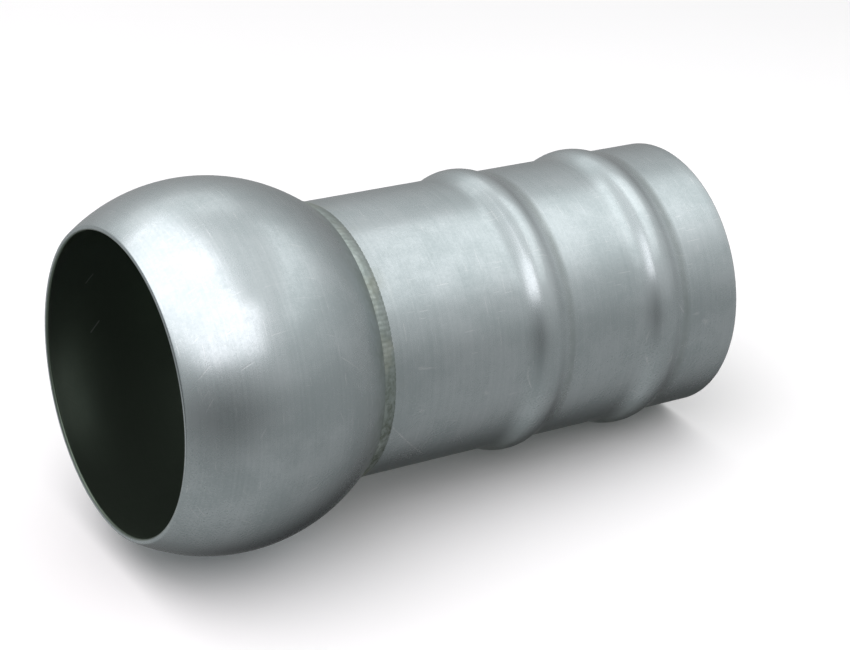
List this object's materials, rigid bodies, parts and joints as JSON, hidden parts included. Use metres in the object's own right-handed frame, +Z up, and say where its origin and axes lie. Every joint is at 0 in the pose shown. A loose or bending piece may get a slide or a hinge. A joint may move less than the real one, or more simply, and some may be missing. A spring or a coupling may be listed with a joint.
{
  "type": "ball coupling hose tail",
  "caption": "Galvanised steel ball end of a lever-lock pipe coupling, open at the mouth and welded to a tube with rolled beads for a hose.",
  "frame": {"origin": "centre of the ball, about which it swivels in its mating half", "axes": "+X along the coupling's axis from the ball's mouth to the hose end, +Z up in a level pipeline, +Y across it"},
  "size_m": [0.235, 0.134, 0.134],
  "materials": {
    "ball_steel": "satin hot-dip zinc over pressed sheet",
    "tail_steel": "satin zinc over rolled tube",
    "weld_steel": "zinc over weld ripples, faintly yellowed"
  },
  "bodies": {
    "root": {"ball_end": "ball_steel", "hose_tail": "tail_steel", "weld_bead": "weld_steel"}
  },
  "joints": []
}
